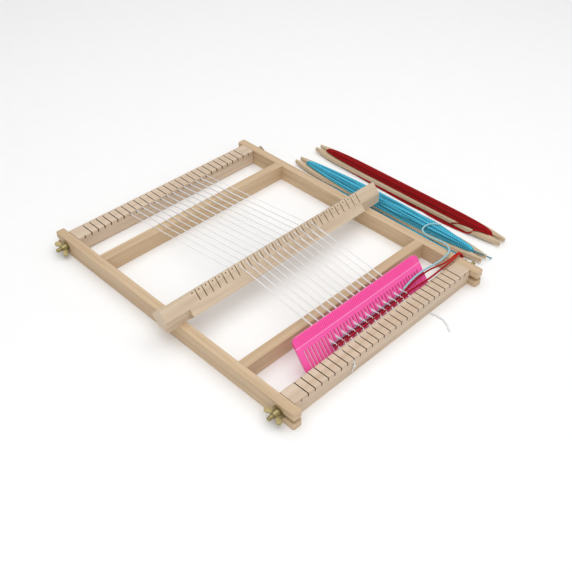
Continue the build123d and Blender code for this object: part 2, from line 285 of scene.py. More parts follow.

# ---- beams ----------------------------------------------------------------
# Two square beech beams with one long edge rounded and a saw kerf every 10 mm across the top for
# the warp. Each turns on a bolt in either end. The walls of the cuts are darkened with painted shade and
# saw burn.
pitch = 10 * mm
kerf_half, kerf_floor, beam_top = 0.8 * mm, 17.5 * mm, 22 * mm
pale_beam, deep_beam = (0.67, 0.53, 0.40), (0.565, 0.425, 0.30)
for name, board in (("front_beam", 2.3), ("back_beam", 3.1)):
    kerfs = (loom_x, pitch, kerf_half, kerf_floor, beam_top)
    dress([name], beech_material("beech_" + name, pale_beam, deep_beam, 1.0, board, kerfs))

# ---- heddle bar -----------------------------------------------------------
# A paler beech bar, slotted and drilled in turn for the warp. It lies across the side rails on
# its V-cut ends and rocks on them to open the shed.
pale_bar, deep_bar = (0.70, 0.57, 0.42), (0.59, 0.46, 0.325)
dress(["heddle_bar"], beech_material("beech_heddle_bar", pale_bar, deep_bar, 1.0, 4.4))

# ---- zinc hardware ----------------------------------------------------------
# Steel studs, washers and wing nuts with a yellow zinc finish, a little dull and blotched. The
# studs are screwed into the ends of the beams, and the wing nuts clamp them in the rails' slots.


def zinc_material(name, bright, dull):
    material, tree, shader = new_material(name, Metallic=0.9, Specular_IOR_Level=0.5)
    coords = node(tree, "ShaderNodeTexCoord")
    blotch = node(tree, "ShaderNodeTexNoise", Scale=420.0, Detail=3.0)
    mix = node(tree, "ShaderNodeMix", data_type="RGBA")
    mix.inputs[6].default_value = (*bright, 1)
    mix.inputs[7].default_value = (*dull, 1)
    rough = node(tree, "ShaderNodeMapRange", To_Min=0.28, To_Max=0.5)
    bump = node(tree, "ShaderNodeBump", Strength=0.15, Distance=0.0001)
    join(tree, (coords.outputs["Object"], blotch.inputs["Vector"]), (blotch.outputs["Fac"], mix.inputs[0]),
         (mix.outputs[2], shader.inputs["Base Color"]), (blotch.outputs["Fac"], rough.inputs["Value"]),
         (rough.outputs[0], shader.inputs["Roughness"]), (blotch.outputs["Fac"], bump.inputs["Height"]),
         (bump.outputs[0], shader.inputs["Normal"]))
    return material


zinc = zinc_material("zinc_yellow", (0.47, 0.38, 0.19), (0.25, 0.20, 0.09))
dress(["washers"], zinc)
dress([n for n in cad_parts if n.startswith("wing_nut")], zinc)


def face_outwards(made, merge_doubles):
    """Turns every face of a closed mesh outwards."""
    work = bmesh.new()
    work.from_mesh(made.data)
    if merge_doubles:
        bmesh.ops.remove_doubles(work, verts=work.verts, dist=1e-6)
    bmesh.ops.recalc_face_normals(work, faces=work.faces)
    work.to_mesh(made.data)
    work.free()


def threaded_stud(name, cad_name, body, y):
    """Both studs of a beam, each turned as a ring profile with rolled threads on its outer part."""
    radius, depth, screw_pitch, sides = 2.5 * mm, 0.33 * mm, 0.8 * mm, 20
    axis_z = 11 * mm
    hidden_end, thread_start = 129.7 * mm, 151 * mm       # from the loom's centreline
    low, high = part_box(cad_name)
    vertices, faces = [], []
    for side in (-1, 1):
        tip = high.x if side > 0 else low.x
        inner = loom_x + side * hidden_end
        profile = [(inner, 0.0), (inner, radius - depth)]
        start = loom_x + side * thread_start
        turns = int(abs(tip - start) / screw_pitch)
        for i in range(turns):
            x = start + side * i * screw_pitch
            profile += [(x, radius - depth), (x + side * 0.3 * mm, radius),
                        (x + side * 0.5 * mm, radius)]
        profile += [(tip - side * 0.3 * mm, radius - depth), (tip, radius - 0.9 * mm), (tip, 0.0)]
        base = len(vertices)
        for x, r in profile:
            for k in range(sides):
                a = 2 * math.pi * k / sides
                vertices.append((x, y + r * math.cos(a), axis_z + r * math.sin(a)))
        for i in range(len(profile) - 1):
            for k in range(sides):
                a, b = base + i * sides + k, base + i * sides + (k + 1) % sides
                faces.append((a, b, b + sides, a + sides))
    stud = from_mesh(name, vertices, faces)
    face_outwards(stud, True)
    stud.data.materials.append(zinc)
    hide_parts(cad_name)
    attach(stud, body)


beam_y = 190 * mm
threaded_stud("front_threaded_studs", "front_bolts", "front_beam", -beam_y)
threaded_stud("back_threaded_studs", "back_bolts", "back_beam", beam_y)

# ---- comb -----------------------------------------------------------------
# One glossy pink plastic moulding, stood in the warp at a slant: fine teeth, a raised ridge at
# their root with a painted highlight along its crest, and a ribbed grip with painted shadow between the
# ribs.
pink, tree, shader = new_material(
    "comb_pink", Roughness=0.3, Subsurface_Weight=0.12, Subsurface_Scale=0.002, Specular_IOR_Level=0.5,
    Coat_Weight=0.2, Coat_Roughness=0.15)
shader.inputs["Subsurface Radius"].default_value = (1.0, 0.25, 0.45)
rib_pitch, rib_from, ridge_at = 2.6 * mm, 13.6 * mm, 12.7 * mm
lean = math.radians(53)
comb_y, comb_z = -164.6 * mm, 24 * mm            # where heights along the comb are counted from
plain_pink, groove_shadow_pink, ridge_highlight_pink = (1.0, 0.105, 0.43), (0.80, 0.035, 0.27), (1.0, 0.36, 0.66)
coords = node(tree, "ShaderNodeTexCoord")
apart = node(tree, "ShaderNodeSeparateXYZ")
up_comb = node(tree, "ShaderNodeVectorMath", operation="DOT_PRODUCT")
up_comb.inputs[1].default_value = (0, math.cos(lean), math.sin(lean))
join(tree, (coords.outputs["Object"], apart.inputs[0]), (coords.outputs["Object"], up_comb.inputs[0]))
comb_foot = comb_y * math.cos(lean) + comb_z * math.sin(lean)
height = maths(tree, "SUBTRACT", up_comb.outputs["Value"], comb_foot)
in_grip = maths(tree, "GREATER_THAN", height, rib_from)
phase = maths(tree, "MULTIPLY_ADD", apart.outputs["X"], 2 * math.pi / rib_pitch,
              -2 * math.pi * (loom_x / rib_pitch))
# painted shadow: the grip is coloured darker between its ribs
groove = node(tree, "ShaderNodeMapRange", From_Min=-0.2, From_Max=0.8, To_Min=0.0, To_Max=0.75)
shadowed = maths(tree, "MULTIPLY", groove.outputs[0], in_grip)
ribbed = node(tree, "ShaderNodeMix", data_type="RGBA")
ribbed.inputs[6].default_value = (*plain_pink, 1)
ribbed.inputs[7].default_value = (*groove_shadow_pink, 1)
# painted highlight: a paler pink band along the crest of the ridge
away = maths(tree, "ABSOLUTE", maths(tree, "SUBTRACT", height, ridge_at))
crest_highlight = node(tree, "ShaderNodeMapRange", From_Min=0.9 * mm, From_Max=0.4 * mm, To_Max=0.7)
ridge_highlight_mix = node(tree, "ShaderNodeMix", data_type="RGBA")
ridge_highlight_mix.inputs[7].default_value = (*ridge_highlight_pink, 1)
flow = node(tree, "ShaderNodeTexNoise", Scale=60.0, Detail=2.0)
gloss = node(tree, "ShaderNodeMapRange", To_Min=0.22, To_Max=0.4)
skin = node(tree, "ShaderNodeTexNoise", Scale=2200.0, Detail=1.0)
bump = node(tree, "ShaderNodeBump", Strength=0.06, Distance=0.05 * mm)
join(tree, (maths(tree, "COSINE", phase), groove.inputs["Value"]), (shadowed, ribbed.inputs[0]),
     (away, crest_highlight.inputs["Value"]), (crest_highlight.outputs[0], ridge_highlight_mix.inputs[0]),
     (ribbed.outputs[2], ridge_highlight_mix.inputs[6]), (ridge_highlight_mix.outputs[2], shader.inputs["Base Color"]),
     (coords.outputs["Object"], flow.inputs["Vector"]), (flow.outputs["Fac"], gloss.inputs["Value"]),
     (gloss.outputs[0], shader.inputs["Roughness"]), (coords.outputs["Object"], skin.inputs["Vector"]),
     (skin.outputs["Fac"], bump.inputs["Height"]), (bump.outputs[0], shader.inputs["Normal"]))
dress(["comb"], pink)

# ---- shuttle boards ---------------------------------------------------------
# Two flat beech laths on the table beside the loom, one for each yarn. Each is sawn to a long
# fork at both ends and sanded.
pale_lath, deep_lath = (0.64, 0.50, 0.34), (0.53, 0.395, 0.25)
for name, board in (("shuttle_blue", 5.2), ("shuttle_red", 6.6)):
    dress([name], beech_material("beech_" + name, pale_lath, deep_lath, 0.0, board))

# ---- warp -----------------------------------------------------------------
# White twisted cotton, tight from the front beam through the heddle bar to the back beam: 13
# threads through its holes, 13 through its slots. Every thread and yarn here is a round strand
# of plies, swept along its line.


def strand_tree():
    """Sweeps a strand of plies along each curve; keeps its run, its side and a tone per strand."""
    tree = bpy.data.node_groups.new("spun_strand", "GeometryNodeTree")
    tree.interface.new_socket("Geometry", in_out="INPUT", socket_type="NodeSocketGeometry")
    for name, kind, default in (
            ("Radius", "NodeSocketFloat", 0.001), ("Sides", "NodeSocketInt", 8),
            ("Step", "NodeSocketFloat", 0.001), ("Plies", "NodeSocketFloat", 2.0),
            ("Groove depth", "NodeSocketFloat", 0.0), ("Turns per metre", "NodeSocketFloat", 0.0)):
        tree.interface.new_socket(name, in_out="INPUT", socket_type=kind).default_value = default
    tree.interface.new_socket("Yarn", in_out="INPUT", socket_type="NodeSocketMaterial")
    tree.interface.new_socket("Geometry", in_out="OUTPUT", socket_type="NodeSocketGeometry")
    given, gives = tree.nodes.new("NodeGroupInput"), tree.nodes.new("NodeGroupOutput")

    # the line: even steps, with the twist of the plies as its tilt
    tone = node(tree, "FunctionNodeRandomValue", data_type="FLOAT")
    tone.inputs["Seed"].default_value = 7
    keep_tone = tree.nodes.new("GeometryNodeCaptureAttribute")
    keep_tone.domain = "CURVE"
    keep_tone.capture_items.new("FLOAT", "tone")
    steps = node(tree, "GeometryNodeResampleCurve", mode="LENGTH")
    along = tree.nodes.new("GeometryNodeSplineParameter")
    keep_run = tree.nodes.new("GeometryNodeCaptureAttribute")
    keep_run.capture_items.new("FLOAT", "run")
    tilt = tree.nodes.new("GeometryNodeSetCurveTilt")
    turns = maths(tree, "MULTIPLY", along.outputs["Length"], given.outputs["Turns per metre"])
    join(tree, (given.outputs["Geometry"], keep_tone.inputs["Geometry"]),
         (tone.outputs[1], keep_tone.inputs["tone"]),
         (keep_tone.outputs["Geometry"], steps.inputs["Curve"]),
         (given.outputs["Step"], steps.inputs["Length"]),
         (steps.outputs["Curve"], keep_run.inputs["Geometry"]),
         (along.outputs["Length"], keep_run.inputs["run"]),
         (keep_run.outputs["Geometry"], tilt.inputs["Curve"]),
         (maths(tree, "MULTIPLY", turns, 2 * math.pi), tilt.inputs["Tilt"]))
    # its section: a ring pressed in between the plies
    ring = tree.nodes.new("GeometryNodeCurvePrimitiveCircle")
    ring.inputs["Radius"].default_value = 1.0
    where = tree.nodes.new("GeometryNodeInputPosition")
    keep_side = tree.nodes.new("GeometryNodeCaptureAttribute")
    keep_side.capture_items.new("VECTOR", "side")
    apart = node(tree, "ShaderNodeSeparateXYZ")
    join(tree, (given.outputs["Sides"], ring.inputs["Resolution"]),
         (ring.outputs["Curve"], keep_side.inputs["Geometry"]),
         (where.outputs[0], keep_side.inputs["side"]), (where.outputs[0], apart.inputs[0]))
    angle = maths(tree, "ARCTAN2", apart.outputs["Y"], apart.outputs["X"])
    half_angle = maths(tree, "MULTIPLY", maths(tree, "MULTIPLY", angle, given.outputs["Plies"]), 0.5)
    lobe = maths(tree, "ABSOLUTE", maths(tree, "COSINE", half_angle))
    pressed = maths(tree, "MULTIPLY", maths(tree, "SUBTRACT", lobe, 1.0), given.outputs["Groove depth"])
    reach = maths(tree, "MULTIPLY", maths(tree, "ADD", pressed, 1.0), given.outputs["Radius"])
    shaped = node(tree, "ShaderNodeVectorMath", operation="SCALE")
    press = tree.nodes.new("GeometryNodeSetPosition")
    join(tree, (where.outputs[0], shaped.inputs[0]), (reach, shaped.inputs["Scale"]),
         (keep_side.outputs["Geometry"], press.inputs["Geometry"]),
         (shaped.outputs[0], press.inputs["Position"]))
    sweep = tree.nodes.new("GeometryNodeCurveToMesh")
    sweep.inputs["Fill Caps"].default_value = True
    join(tree, (tilt.outputs["Curve"], sweep.inputs["Curve"]),
         (press.outputs["Geometry"], sweep.inputs["Profile Curve"]))
    made = sweep.outputs["Mesh"]
    for name, kind, value in (
            ("run", "FLOAT", keep_run.outputs["run"]), ("tone", "FLOAT", keep_tone.outputs["tone"]),
            ("side", "FLOAT_VECTOR", keep_side.outputs["side"])):
        store = node(tree, "GeometryNodeStoreNamedAttribute", data_type=kind, domain="POINT")
        store.inputs["Name"].default_value = name
        join(tree, (made, store.inputs["Geometry"]), (value, store.inputs["Value"]))
        made = store.outputs["Geometry"]
    smooth = tree.nodes.new("GeometryNodeSetShadeSmooth")
    real = tree.nodes.new("GeometryNodeRealizeInstances")
    paint = tree.nodes.new("GeometryNodeSetMaterial")
    join(tree, (made, smooth.inputs["Geometry"]), (smooth.outputs["Geometry"], real.inputs["Geometry"]),
         (real.outputs["Geometry"], paint.inputs["Geometry"]),
         (given.outputs["Yarn"], paint.inputs["Material"]),
         (paint.outputs["Geometry"], gives.inputs["Geometry"]))
    return tree


spun_strand = strand_tree()


def strand_lines(name, lines, resolution=6):
    """A curve object with one smooth NURBS line for each list of points."""
    curve = bpy.data.curves.new(name, "CURVE")
    curve.dimensions = "3D"
    curve.twist_mode = "Z_UP"
    for points in lines:
        spline = curve.splines.new("NURBS")
        spline.points.add(len(points) - 1)
        for point, at in zip(spline.points, points):
            point.co = (*at, 1)
        spline.order_u = 3
        spline.use_endpoint_u = True
        spline.resolution_u = resolution
    made = bpy.data.objects.new(name, curve)
    bpy.context.scene.collection.objects.link(made)
    return made


def plain_mesh(source):
    """What an object and its modifiers come to, as a mesh of its own."""
    bpy.context.view_layer.update()
    evaluated = source.evaluated_get(bpy.context.evaluated_depsgraph_get())
    return bpy.data.meshes.new_from_object(evaluated)


def swept(name, lines, material, radius, step, sides=8, plies=2, groove=0.0, turns=0.0,
          resolution=6):
    """The strands along the lines, as one plain mesh."""
    source = strand_lines(name + "_lines", lines, resolution)
    modifier = source.modifiers.new("strand", "NODES")
    modifier.node_group = spun_strand
    items = spun_strand.interface.items_tree
    sockets = {item.name: item.identifier for item in items if item.in_out == "INPUT"}
    for socket, value in (
            ("Radius", radius), ("Sides", sides), ("Step", step), ("Plies", float(plies)),
            ("Groove depth", groove), ("Turns per metre", float(turns)), ("Yarn", material)):
        modifier[sockets[socket]] = value
    mesh = plain_mesh(source)
    mesh.name = name
    made = bpy.data.objects.new(name, mesh)
    bpy.context.scene.collection.objects.link(made)
    bpy.data.objects.remove(source)
    return made


def fibre_group():
    """The plies of a strand and the fibres along them, from the run and side that a strand keeps."""
    tree = bpy.data.node_groups.new("spun_fibres", "ShaderNodeTree")
    for name, default in (
            ("Turns per metre", 0.0), ("Plies", 2.0), ("Fibre scale", 900.0), ("Tone spread", 0.2)):
        socket = tree.interface.new_socket(name, in_out="INPUT", socket_type="NodeSocketFloat")
        socket.default_value = default
    for name in ("Light", "Tone", "Height"):
        tree.interface.new_socket(name, in_out="OUTPUT", socket_type="NodeSocketFloat")
    given, gives = tree.nodes.new("NodeGroupInput"), tree.nodes.new("NodeGroupOutput")
    run = node(tree, "ShaderNodeAttribute", attribute_name="run")
    tone = node(tree, "ShaderNodeAttribute", attribute_name="tone")
    side = node(tree, "ShaderNodeAttribute", attribute_name="side")
    apart = node(tree, "ShaderNodeSeparateXYZ")
    join(tree, (side.outputs["Vector"], apart.inputs[0]))
    # the plies: their own colour on top, painted shade where they meet
    angle = maths(tree, "ARCTAN2", apart.outputs["Y"], apart.outputs["X"])
    turns = maths(tree, "MULTIPLY", run.outputs["Fac"], given.outputs["Turns per metre"])
    by_ply = maths(tree, "MULTIPLY_ADD", angle, given.outputs["Plies"],
                   maths(tree, "MULTIPLY", turns, 2 * math.pi))
    ply = node(tree, "ShaderNodeMapRange", From_Min=-1.0, From_Max=0.6)
    # the fibres: noise on the strand's side and run, different on each strand
    spread = node(tree, "ShaderNodeVectorMath", operation="MULTIPLY")
    spread.inputs[1].default_value = (1.6, 1.6, 0.0)
    length = node(tree, "ShaderNodeCombineXYZ")
    far = maths(tree, "MULTIPLY", run.outputs["Fac"], given.outputs["Fibre scale"])
    place = node(tree, "ShaderNodeVectorMath", operation="ADD")
    fibre = node(tree, "ShaderNodeTexNoise", Scale=1.0, Detail=3.0)
    fibre_light = node(
        tree, "ShaderNodeMapRange", From_Min=0.25, From_Max=0.75, To_Min=0.45, To_Max=1.0)
    join(tree, (maths(tree, "COSINE", by_ply), ply.inputs["Value"]),
         (side.outputs["Vector"], spread.inputs[0]), (far, length.inputs[2]),
         (tone.outputs["Fac"], length.inputs[0]), (spread.outputs[0], place.inputs[0]),
         (length.outputs[0], place.inputs[1]), (place.outputs[0], fibre.inputs["Vector"]),
         (fibre.outputs["Fac"], fibre_light.inputs["Value"]))
    height = maths(tree, "MULTIPLY_ADD", fibre.outputs["Fac"], 0.5, ply.outputs[0])
    light = maths(tree, "MULTIPLY", ply.outputs[0], fibre_light.outputs[0])
    shift = maths(tree, "SUBTRACT", tone.outputs["Fac"], 0.5)
    level = maths(tree, "MULTIPLY_ADD", shift, given.outputs["Tone spread"], 1.0)
    join(tree, (light, gives.inputs["Light"]), (level, gives.inputs["Tone"]),
         (height, gives.inputs["Height"]))
    return tree


spun_fibres = fibre_group()


def yarn_material(name, light, groove_shade, depth, sheen, turns=0.0, spread=0.2, fibre_scale=900.0,
                  highlight_run=None):
    """Spun yarn, with painted shade in the grooves between its plies. Spread is how far strands differ
    in tone; the last argument, (colour, x from, x to), runs the light colour to a second one, a
    painted highlight."""
    material, tree, shader = new_material(
        name, Roughness=0.85, Specular_IOR_Level=0.15, Sheen_Weight=sheen, Sheen_Roughness=0.5)
    fibres = node(tree, "ShaderNodeGroup", node_tree=spun_fibres)
    fibres.inputs["Turns per metre"].default_value = turns
    fibres.inputs["Tone spread"].default_value = spread
    fibres.inputs["Fibre scale"].default_value = fibre_scale
    mix = node(tree, "ShaderNodeMix", data_type="RGBA")
    mix.inputs[6].default_value = (*groove_shade, 1)
    mix.inputs[7].default_value = (*light, 1)
    colour = node(tree, "ShaderNodeVectorMath", operation="SCALE")
    bump = node(tree, "ShaderNodeBump", Strength=0.7, Distance=depth)
    join(tree, (fibres.outputs["Light"], mix.inputs[0]), (fibres.outputs["Tone"], colour.inputs["Scale"]),
         (mix.outputs[2], colour.inputs[0]), (colour.outputs[0], shader.inputs["Base Color"]),
         (fibres.outputs["Height"], bump.inputs["Height"]), (bump.outputs[0], shader.inputs["Normal"]))
    if highlight_run:
        other, x_from, x_to = highlight_run
        place = node(tree, "ShaderNodeTexCoord")
        across = node(tree, "ShaderNodeSeparateXYZ")
        reach = node(tree, "ShaderNodeMapRange", From_Min=x_from, From_Max=x_to)
        blend = node(tree, "ShaderNodeMix", data_type="RGBA")
        blend.inputs[6].default_value = (*light, 1)
        blend.inputs[7].default_value = (*other, 1)
        join(tree, (place.outputs["Object"], across.inputs[0]),
             (across.outputs["X"], reach.inputs["Value"]), (reach.outputs[0], blend.inputs[0]),
             (blend.outputs[2], mix.inputs[7]))
    return material


# the second colour is the painted shade in the grooves between the plies
cotton = yarn_material("warp_cotton", (0.95, 0.95, 0.95), (0.74, 0.75, 0.77), 0.1 * mm, 0.1,
                       turns=400, spread=0.08, fibre_scale=4000.0)
thread_radius = 0.45 * mm
front_kerfs = [loom_x + (k - 6) * pitch for k in range(13)]
fell_y, fell_z = -168.2 * mm, 23.8 * mm          # where the free warp begins, behind the woven rows
back_y, back_low, back_high = 178.7 * mm, 19.9 * mm, 20.9 * mm
hole_mouth = Vector((0, -22.64, 46.85)) * mm     # where a hole opens on the bar's front face
hole_exit = Vector((0, -7.65, 31.86)) * mm
slot_lip = Vector((0, -29.57, 39.07)) * mm
near_fell, near_back = -158 * mm, 166 * mm       # the threads are cut into separate pieces at these depths
inside_bar = -31 * mm
to_hole, to_slot = -1.5 * mm, 3.6 * mm           # from a kerf to its hole and its slot in the bar


def warp_thread(name, lines, resolution=3):
    """White threads along straight or gently bent lines."""
    return swept(name, lines, cotton, thread_radius, 4 * mm, 8, resolution=resolution)


def taut(a, b, y_from, y_to, steps=3):
    """Points of the straight thread from a to b between two depths."""
    a, b = Vector(a), Vector(b)
    depths = (y_from + (y_to - y_from) * i / steps for i in range(steps + 1))
    return [a + (b - a) * ((y - a.y) / (b.y - a.y)) for y in depths]


def at_x(point, x):
    return Vector((x, point.y, point.z))


beside = 0.7 * mm                                # the two threads of a kerf lie side by side
hole_front = [((x - beside, fell_y, fell_z), at_x(hole_mouth, x + to_hole)) for x in front_kerfs]
hole_back = [(at_x(hole_exit, x + to_hole), (x - pitch, back_y, back_low)) for x in front_kerfs]
slot_front = [((x + beside, fell_y, fell_z), at_x(slot_lip, x + to_slot)) for x in front_kerfs]
slot_back = [(at_x(slot_lip, x + to_slot), (x, back_y, back_high)) for x in front_kerfs]

fell_ends = warp_thread(
    "warp_at_the_fell", [taut(a, b, fell_y, near_fell) for a, b in hole_front + slot_front])
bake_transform(fell_ends)
raised = warp_thread(
    "warp_hole_threads_front", [taut(a, b, near_fell, hole_mouth.y) for a, b in hole_front])
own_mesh(raised)
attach(raised, "frame")
middle = (hole_mouth + hole_exit) / 2
in_holes = warp_thread("warp_in_the_holes", [
    [at_x(point, x + to_hole) for point in (hole_mouth, middle, hole_exit)] for x in front_kerfs])
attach(in_holes, "heddle_bar")
lowered = warp_thread(
    "warp_hole_threads_back", [taut(a, b, inside_bar, near_back) for a, b in hole_back])
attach(lowered, "frame")
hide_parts("warp_hole_threads")
in_slots = warp_thread("warp_slot_threads_middle", [
    taut(*first, near_fell, slot_lip.y)[:-1] + [first[1]] + taut(*second, slot_lip.y, near_back)[1:]
    for first, second in zip(slot_front, slot_back)])
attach(in_slots, "frame")
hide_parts("warp_slot_threads")
back_ends = warp_thread(
    "warp_at_the_back_beam", [taut(a, b, near_back, back_y) for a, b in hole_back + slot_back])
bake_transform(back_ends)

behind = 201.8 * mm       # a thread's centre where it rounds a tooth of the back beam
loops = warp_thread("warp_loops_round_the_teeth", [
    [(x - pitch, back_y, back_low), (x - pitch, 192 * mm, 19 * mm),
     (x - pitch, behind - 1.2 * mm, 18.5 * mm), (x - pitch + 0.4 * mm, behind, 18.5 * mm),
     (x - 5 * mm, behind, 18.9 * mm), (x - 0.4 * mm, behind, 19.4 * mm),
     (x, behind - 1.2 * mm, 19.4 * mm), (x, 192 * mm, 19.9 * mm), (x, back_y, back_high)]
    for x in front_kerfs], 5)
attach(loops, "back_beam")
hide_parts("warp_back_loops")
kerf_ends = warp_thread("warp_in_the_front_kerfs", [
    [(x, y * mm, (z - drop) * mm) for y, z in ((-179.4, 22.5), (-183, 20.8), (-190, 19.3), (-199, 18.9))]
    for x in front_kerfs for drop in (0, 0.8)])
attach(kerf_ends, "front_beam")
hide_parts("warp_front_ends")

# ---- woven rows ---------------------------------------------------------------
# Two rows of crimson weft beaten against the front beam and a thin turquoise one behind them. Each
# row passes over one thread of every pair and under the other.
twist = 180                # turns of the yarn's plies in a metre
fluff = 0.2 * mm           # depth of the fibres on the yarn
# each yarn's second colour is its painted shade in the grooves between the plies
crimson = yarn_material(
    "yarn_crimson", (0.52, 0.006, 0.008), (0.17, 0.002, 0.003), fluff, 0.03, spread=0.7)
# Scarlet runs to a brighter orange red towards the rail: a painted highlight on the loose strands.
scarlet = yarn_material(
    "yarn_scarlet", (0.50, 0.010, 0.018), (0.22, 0.003, 0.006), fluff, 0.04,
    highlight_run=((0.85, 0.05, 0.025), loom_x + 125 * mm, loom_x + 150 * mm))
# The back row is the same red yarn coloured darker: painted shade.
red_painted_shaded = yarn_material("yarn_maroon", (0.34, 0.010, 0.022), (0.10, 0.003, 0.008), fluff, 0.05)
turquoise = yarn_material(
    "yarn_turquoise", (0.12, 0.64, 0.85), (0.018, 0.23, 0.35), fluff, 0.08, spread=0.85)
pale_turquoise = yarn_material(
    "yarn_pale_turquoise", (0.44, 0.70, 0.76), (0.22, 0.46, 0.54), fluff, 0.2)
# The turquoise row is the shuttle's turquoise yarn coloured darker and greyer: painted shade.
turquoise_painted_shaded = yarn_material(
    "yarn_grey_turquoise", (0.30, 0.38, 0.47), (0.12, 0.17, 0.24), fluff, 0.2)


def weft_line(y, over_holes, right, dip):
    """One row of weft: it dips between the warp pairs and rides over one thread of each."""
    z = fell_z
    points = [(loom_x - 64 * mm, y, z)]
    for x in front_kerfs:
        for offset, on_top in ((-0.9, over_holes), (0.9, not over_holes)):
            points.append((x + offset * mm, y, z + (dip if on_top else -dip)))
        points += [(x + 3.4 * mm, y, z + 0.4 * mm), (x + 6.6 * mm, y, z + 0.4 * mm)]
    return points[:-2] + [(right, y, z)]


for name, y, over, material, slot, radius, dip in (
        ("weft_front_row", -177.4, True, scarlet, "red_yarn", 1.35, 0.6),
        ("weft_back_row", -174.0, False, red_painted_shaded, "red_yarn", 1.3, 0.6),
        ("weft_turquoise_row", -171.3, True, turquoise_painted_shaded, "blue_yarn", 0.65, 0.3)):
    row = swept(name, [weft_line(y * mm, over, loom_x + 60.9 * mm, dip * mm)], material,
                radius * mm, 0.6 * mm, 12, groove=0.3, turns=twist)
    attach(row, "front_beam")
    if name == "weft_front_row":
        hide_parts("woven_strip")
bound = []
for x in front_kerfs:
    for offset, up in ((-0.7, 1), (0.7, -1)):
        bound.append([
            (x + offset * mm, fell_y, fell_z),
            (x + 0.8 * offset * mm, -171.3 * mm, fell_z - up * 1.1 * mm),
            (x - 0.5 * offset * mm, -174.0 * mm, fell_z + up * 2.1 * mm),
            (x + 0.5 * offset * mm, -177.4 * mm, fell_z - up * 2.1 * mm),
            (x + 0.3 * offset * mm, -179.4 * mm, 22.5 * mm)])
bound_warp = swept("warp_in_the_weave", bound, cotton, thread_radius, 0.5 * mm, 8)
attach(bound_warp, "front_beam")

# ---- warp knot ------------------------------------------------------------
# The first warp end, a white cotton thread, comes over the front beam's outer edge and is tied
# in a small round knot on its face.
knot_x = loom_x - 60.6 * mm
knot_centre = Vector((knot_x, -202.3 * mm, 11.8 * mm))
tied = []
for i in range(33):
    a = 4 * math.pi * i / 32
    turn = Vector((1.5 * math.sin(a), 0.7 * math.sin(1.5 * a), 1.2 * math.cos(a) * math.cos(0.5 * a)))
    tied.append(knot_centre + turn * mm)
knot = swept("warp_knot_tied", [
    [(knot_x, -196.5 * mm, 19.4 * mm), (knot_x, -199.6 * mm, 20.6 * mm), (knot_x, -201.6 * mm, 18.6 * mm),
     (knot_x, -201.9 * mm, 15 * mm)] + tied + [
     (knot_x - 0.4 * mm, -202.2 * mm, 9.5 * mm), (knot_x - 1.4 * mm, -202.0 * mm, 6.5 * mm),
     (knot_x - 2.6 * mm, -202.0 * mm, 4.6 * mm)]], cotton, 0.55 * mm, 0.4 * mm, 8)
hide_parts("warp_knot")
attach(knot, "front_beam")

# ---- yarn on the shuttles -------------------------------------------------
# Yarn is laid lengthwise over both faces and through the forks, heaped along the middle. The
# turquoise heap is wide and loose; the crimson one is narrow and even.
dice = random.Random(4)
yarn_radius = 0.98 * mm


def heap_size(t, ends, power):
    """How wide the heap is at a place along it, from -1 to 1, as a part of its greatest width."""
    return ends + (1 - ends) * (1 - abs(t) ** power)


def heap_lines(centre, reach, base, wide, high, count, ends, power, wander):
    """Strands side by side over the heap's rounded top, from one fork to the other."""
    lines = []
    for i in range(count):
        start = (i + 0.5) / count + dice.uniform(-0.2, 0.2) / count
        drift, sway = dice.uniform(-wander, wander), dice.uniform(0, 6)
        bump = dice.uniform(0, 0.45) * mm
        line = [(centre.x + dice.uniform(-1, 1) * mm, centre.y - reach - 3 * mm, base - 2.5 * mm),
                (centre.x + dice.uniform(-1.5, 1.5) * mm, centre.y - reach - 1.6 * mm, base + 0.6 * mm)]
        for step in range(-12, 13):
            t = step / 12
            size = heap_size(t, ends, power)
            angle = math.pi * min(max(start + drift * math.sin(2.2 * t + sway), 0.02), 0.98)
            low = 0.75 if abs(t) > 0.95 else 1.0
            rise = high * low * (0.55 + 0.45 * size) * math.sin(angle) ** 0.8
            line.append((centre.x - wide * size * math.cos(angle), centre.y + t * (reach - 1 * mm),
                         base + 0.6 * mm + bump + rise))
        line += [(centre.x + dice.uniform(-1.5, 1.5) * mm, centre.y + reach + 1.6 * mm, base + 0.6 * mm),
                 (centre.x + dice.uniform(-1, 1) * mm, centre.y + reach + 3 * mm, base - 2.5 * mm)]
        lines.append(line)
    return lines


def heap_core(name, centre, reach, base, wide, high, ends, power, material):
    """The yarn under the outer strands, a closed rounded body that nothing shines through."""
    rings, sides = 24, 12
    vertices, faces = [], []
    for i in range(rings + 1):
        t = -1 + 2 * i / rings
        size = heap_size(t, ends, power)
        for k in range(sides):
            angle = math.pi * k / (sides - 1)
            rise = (high - 0.2 * mm) * (0.55 + 0.45 * size) * math.sin(angle) ** 0.8
            vertices.append((centre.x - (wide * size - 0.7 * mm) * math.cos(angle),
                             centre.y + t * (reach - 1 * mm), base + rise))
    for i in range(rings):
        for k in range(sides):
            a, b = i * sides + k, i * sides + (k + 1) % sides
            faces.append((a, b, b + sides, a + sides))
    faces += [tuple(range(sides))[::-1], tuple(rings * sides + k for k in range(sides))]
    core = from_mesh(name, vertices, faces)
    face_outwards(core, False)
    core.data.materials.append(material)
    return core


